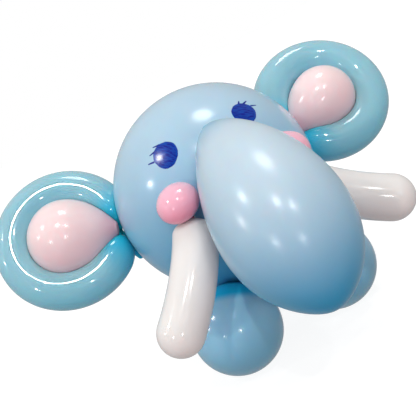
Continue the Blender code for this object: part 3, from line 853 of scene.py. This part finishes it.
def draw_eye(tree, place, eye, colour):
    """A scribbled round marker eye with three lashes, drawn over a colour."""
    azimuth, latitude = eye["place"]
    outward = direction(azimuth, latitude)
    aside = direction(azimuth + 90.0, 0.0)
    upward = outward.cross(aside)
    offset = vector_figure(tree, "SUBTRACT", place, outward * HEAD_RADIUS)
    across = vector_figure(tree, "DOT_PRODUCT", offset, aside, gives="Value")
    high = vector_figure(tree, "DOT_PRODUCT", offset, upward, gives="Value")
    away = vector_figure(tree, "LENGTH", offset, gives="Value")
    around = figure(tree, "ARCTAN2", high, across)
    outline = eye["radius"]
    for count, height, turn in eye["waves"]:
        from_crest = figure(tree, "SUBTRACT", around, math.radians(turn))
        wave = figure(tree, "COSINE", figure(tree, "MULTIPLY", from_crest, float(count)))
        outline = figure(tree, "ADD", outline, figure(tree, "MULTIPLY", wave, height))
    shake = noise(tree, place, INK_SHAKE_SCALE, INK_SHAKE_DETAIL)
    shake = figure(tree, "MULTIPLY", figure(tree, "SUBTRACT", shake, NOISE_MIDDLE), INK_SHAKE)
    depth = figure(tree, "SUBTRACT", figure(tree, "ADD", outline, shake), away)

    turn = math.radians(INK_STROKE_TURN)
    along = aside * math.cos(turn) - upward * math.sin(turn)
    over = aside * math.sin(turn) + upward * math.cos(turn)
    stroke = add_node(tree, "ShaderNodeCombineXYZ")
    for name, way, scale in zip("XY", (over, along), INK_STROKE_SCALES):
        share = vector_figure(tree, "DOT_PRODUCT", offset, way * scale, gives="Value")
        feed(tree, stroke.inputs[name], share)
    strokes = noise(tree, stroke.outputs["Vector"], 1.0, INK_STROKE_DETAIL)
    strokes = between(tree, strokes, *INK_STROKE_RANGE, 0.0, INK_STROKE_LIGHT)
    from_rim = figure(tree, "ABSOLUTE", figure(tree, "SUBTRACT", depth, INK_RIM_DEPTH))
    rim = between(tree, from_rim, 0.0, INK_RIM_WIDTH, INK_RIM_LIGHT, 0.0)
    patchy = noise(tree, place, INK_PATCH_SCALE, INK_PATCH_DETAIL)
    patchy = between(tree, patchy, *INK_PATCH_RANGE, INK_PATCH_LEAST, 1.0)
    lighter = figure(tree, "MAXIMUM", strokes, figure(tree, "MULTIPLY", rim, patchy))
    ink = mix_colours(tree, lighter, INK_DARK, INK_LIGHT)
    cover = between(tree, depth, -INK_EDGE, INK_EDGE, 0.0, 1.0)
    colour = mix_colours(tree, cover, colour, ink)

    for root, tip in eye["lashes"]:
        start = on_head(*root, 0.0)
        reach = on_head(*tip, 0.0) - start
        from_root = vector_figure(tree, "SUBTRACT", place, start)
        per_reach = reach / reach.length_squared
        share = vector_figure(tree, "DOT_PRODUCT", from_root, per_reach, gives="Value")
        share = figure(tree, "ADD", share, 0.0, use_clamp=True)
        nearest = vector_figure(tree, "MULTIPLY_ADD", reach, share, start)
        distance = vector_figure(tree, "DISTANCE", place, nearest, gives="Value")
        thinner = figure(tree, "MULTIPLY", share, LASH_THINNING * LASH_WIDTH / 2)
        depth = figure(tree, "SUBTRACT", figure(tree, "SUBTRACT", LASH_WIDTH / 2, thinner), distance)
        cover = between(tree, depth, -INK_EDGE, INK_EDGE, 0.0, 1.0)
        colour = mix_colours(tree, cover, colour, INK_DARK)
    return colour


def latex(name, eyes=()):
    """Latex whose colour changes as it is blown thin and, as painted light and shade, as it faces up,
    satin under a glossier skin.
    """
    colours, reach, satin, gloss, turns_up, pales = LATEXES[name]
    facing_up, facing_down, thick_and_shaded = colours
    material = bpy.data.materials.new(name)
    material.use_nodes = True
    tree = material.node_tree
    shader = tree.nodes["Principled BSDF"]
    place = add_node(tree, "ShaderNodeTexCoord").outputs["Object"]
    place = vector_figure(tree, "SUBTRACT", place, HEAD_CENTRE)
    stretch_and_shade = add_node(tree, "ShaderNodeAttribute", attribute_name="stretch_and_shade").outputs["Fac"]
    rise = add_node(tree, "ShaderNodeAttribute", attribute_name="rise").outputs["Fac"]
    # Painted light and shade: the thin latex's colour goes from its facing-down colour to its facing-up
    # colour as the face turns up
    thin = mix_colours(tree, between(tree, rise, *turns_up, 0.0, 1.0), facing_down, facing_up)
    # Deeper where the latex gathers at its ties, and as painted shade on the feet under the head and on
    # the ring's knot end
    colour = mix_colours(tree, between(tree, stretch_and_shade, *pales, 0.0, 1.0), thick_and_shaded, thin)
    cloud = noise(tree, place, CLOUD_SCALE, CLOUD_DETAIL)
    cloud = between(tree, cloud, 0.0, 1.0, 1.0 - CLOUD_DEPTH, 1.0 + CLOUD_DEPTH)
    colour = mix_colours(tree, 1.0, colour, cloud, blend="MULTIPLY")
    for eye in eyes:
        colour = draw_eye(tree, place, eye, colour)
    feed(tree, shader.inputs["Base Color"], colour)
    grain = noise(tree, place, GRAIN_SCALE, GRAIN_DETAIL)
    roughness = (satin * (1.0 - GRAIN_ROUGHNESS), satin * (1.0 + GRAIN_ROUGHNESS))
    feed(tree, shader.inputs["Roughness"], between(tree, grain, 0.0, 1.0, *roughness))
    bump = add_node(tree, "ShaderNodeBump")
    bump.inputs["Strength"].default_value = GRAIN_BUMP
    bump.inputs["Distance"].default_value = GRAIN_HEIGHT
    feed(tree, bump.inputs["Height"], grain)
    feed(tree, shader.inputs["Normal"], bump.outputs["Normal"])
    shader.inputs["Specular IOR Level"].default_value = SKIN_SPECULAR
    shader.inputs["Subsurface Weight"].default_value = SUBSURFACE_WEIGHT
    shader.inputs["Subsurface Radius"].default_value = reach
    shader.inputs["Subsurface Scale"].default_value = 1.0
    shader.inputs["Coat Weight"].default_value = COAT_WEIGHT
    shader.inputs["Coat Roughness"].default_value = gloss
    return material


def build_elephant():
    """All balloons, each pressed off the ones before it."""
    in_place = []

    def press_in(skin):
        settle(skin, in_place)
        in_place.append(skin.tree())

    materials = {name: latex(name, EYES if name == "head_latex" else ()) for name in LATEXES}

    def add(name, skin, node, slot):
        add_skin(name, skin, node, materials[slot])

    skin = head_skin()
    press_in(skin)
    add("head_balloon", skin, "head", "head_latex")

    skin = trunk_skin()
    press_in(skin)
    cover_trunk_tie(skin)
    add("trunk_balloon", skin, "trunk", "trunk_latex")

    for name, (azimuth, press) in FEET.items():
        skin = foot_skin(azimuth, press)
        press_in(skin)
        stand_on_ground(skin)
        paint_shade_under_head(skin)
        add(name + "_balloon", skin, name, "foot_latex")

    for side in CHEEKS:
        skin = cheek_skin(side)
        press_in(skin)
        add("cheek_" + side + "_balloon", skin, "cheek_" + side, "cheek_latex")
        skin = tusk_skin(side)
        press_in(skin)
        add("tusk_" + side + "_balloon", skin, "tusk_" + side, "tusk_latex")

    for side, ear in EARS.items():
        skin = ear_ball_skin(ear)
        press_in(skin)
        cover_ear_ball_tie(skin, ear)
        add("ear_ball_" + side + "_balloon", skin, "ear_ball_" + side, "ear_ball_latex")
        skin = ring_skin(ear)
        press_in(skin)
        cover_ring_tail(skin, ear)
        add("ear_ring_" + side + "_balloon", skin, "ear_ring_" + side, "ring_latex")


def camera_axes():
    """The way the camera looks, and its own right and up."""
    ahead = direction(*CAMERA_LOOKS)
    right = ahead.cross(Vector((0.0, 0.0, 1.0))).normalized()
    up = right.cross(ahead)
    roll = math.radians(CAMERA_ROLL)
    rolled_right = right * math.cos(roll) + up * math.sin(roll)
    rolled_up = up * math.cos(roll) - right * math.sin(roll)
    return ahead, rolled_right, rolled_up


def add_camera():
    """Camera at the photograph's angle."""
    ahead, right, up = camera_axes()
    lens = bpy.data.cameras.new("photo_camera")
    lens.lens = CAMERA_LENS
    lens.sensor_width = SENSOR_WIDTH
    camera = bpy.data.objects.new("photo_camera", lens)
    camera.matrix_world = Matrix((right, up, -ahead)).transposed().to_4x4()
    camera.location = HEAD_CENTRE + direction(*CAMERA_PLACE) * CAMERA_DISTANCE
    bpy.context.collection.objects.link(camera)
    bpy.context.scene.camera = camera


def add_sun(name, way, width, strength):
    """Soft sun that stands in a direction."""
    light = bpy.data.lights.new(name, "SUN")
    light.angle = math.radians(width)
    light.energy = strength
    sun = bpy.data.objects.new(name, light)
    sun.rotation_mode = "QUATERNION"
    sun.rotation_quaternion = Vector(way).to_track_quat("Z", "Y")
    sun.visible_glossy = width <= SUN_WIDEST_MIRRORED
    bpy.context.collection.objects.link(sun)


def add_floor():
    """Pale floor that reaches the horizon, a hair below the feet."""
    points = []
    for index in range(FLOOR_SIDES):
        turn = 2 * math.pi * index / FLOOR_SIDES
        points.append((FLOOR_RADIUS * math.cos(turn), FLOOR_RADIUS * math.sin(turn), -GAP))
    mesh = bpy.data.meshes.new("floor")
    mesh.from_pydata(points, [], [list(range(FLOOR_SIDES))])
    material = bpy.data.materials.new("floor")
    material.use_nodes = True
    shader = material.node_tree.nodes["Principled BSDF"]
    shader.inputs["Base Color"].default_value = (*FLOOR_COLOUR, 1.0)
    shader.inputs["Roughness"].default_value = 1.0
    shader.inputs["Specular IOR Level"].default_value = 0.0
    shader.inputs["Emission Color"].default_value = (1.0, 1.0, 1.0, 1.0)
    shader.inputs["Emission Strength"].default_value = FLOOR_GLOW
    mesh.materials.append(material)
    floor = bpy.data.objects.new("floor", mesh)
    floor.visible_diffuse = False
    floor.visible_glossy = False
    bpy.context.collection.objects.link(floor)


def add_world():
    """White room, a little lighter above, whose mirror image is darker before the elephant."""
    world = bpy.data.worlds.new("studio")
    world.use_nodes = True
    tree = world.node_tree
    background = tree.nodes["Background"]
    way = add_node(tree, "ShaderNodeTexCoord").outputs["Generated"]
    height = vector_figure(tree, "DOT_PRODUCT", way, (0.0, 0.0, 1.0), gives="Value")
    light = between(tree, height, -SKY_FADE, 0.0, SKY_DARK, SKY_LIGHT)
    path = add_node(tree, "ShaderNodeLightPath")
    depth = vector_figure(tree, "DOT_PRODUCT", way, (0.0, 1.0, 0.0), gives="Value")
    room = between(tree, depth, *ROOM_FADE, ROOM_BEFORE, ROOM_BEHIND)
    mirrored = between(tree, path.outputs["Is Glossy Ray"], 0.0, 1.0, 1.0, room)
    light = figure(tree, "MULTIPLY", light, mirrored)
    strength = figure(tree, "MAXIMUM", path.outputs["Is Camera Ray"], light)
    feed(tree, background.inputs["Strength"], strength)
    background.inputs["Color"].default_value = (1.0, 1.0, 1.0, 1.0)
    bpy.context.scene.world = world


build_elephant()
add_camera()
add_world()
add_floor()
for name, (way, width, strength) in SUNS.items():
    add_sun(name, way, width, strength)
bpy.context.scene.view_settings.view_transform = "Standard"
